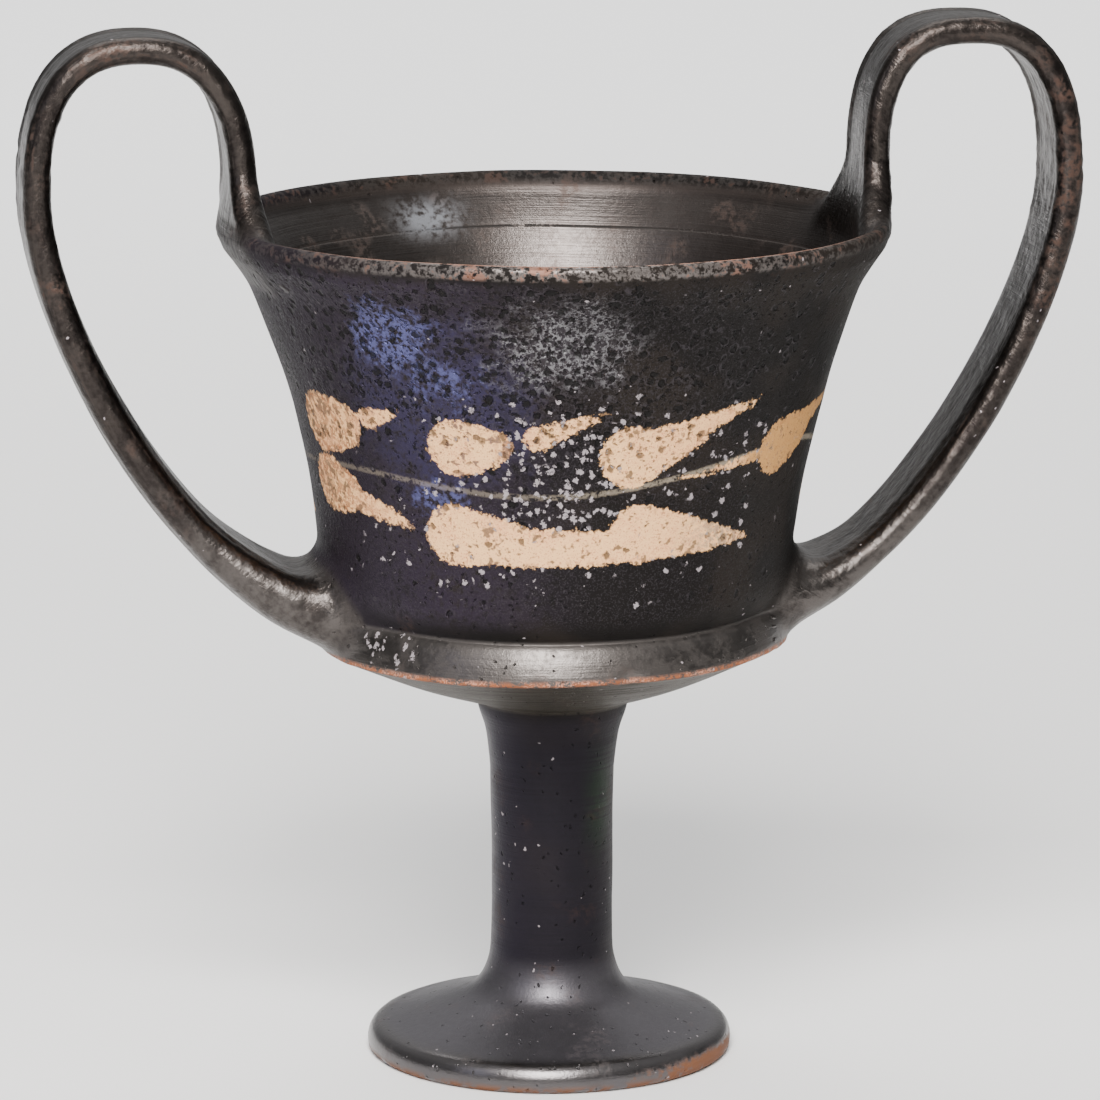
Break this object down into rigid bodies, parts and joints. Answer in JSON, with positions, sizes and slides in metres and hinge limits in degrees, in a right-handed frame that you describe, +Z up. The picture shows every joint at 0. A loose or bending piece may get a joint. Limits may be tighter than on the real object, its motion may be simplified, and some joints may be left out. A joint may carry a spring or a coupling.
{
  "type": "kantharos",
  "caption": "High-handled drinking cup: flared bowl with a ridged ledge, tall slim stem, conical foot and two looped strap handles that rise above the rim.",
  "frame": {"origin": "on the turning axis, on the plane that the foot's ring rests on", "axes": "+Z up along the turning axis; +X out through one handle, -X through the other; -Y is the side seen in the picture"},
  "size_m": [0.2313, 0.1466, 0.2288],
  "materials": {
    "black_gloss": "thin satin black gloss on reddish clay, pitted and worn, with a cream painted leaf band"
  },
  "bodies": {
    "root": {"kantharos": "black_gloss"}
  },
  "joints": []
}
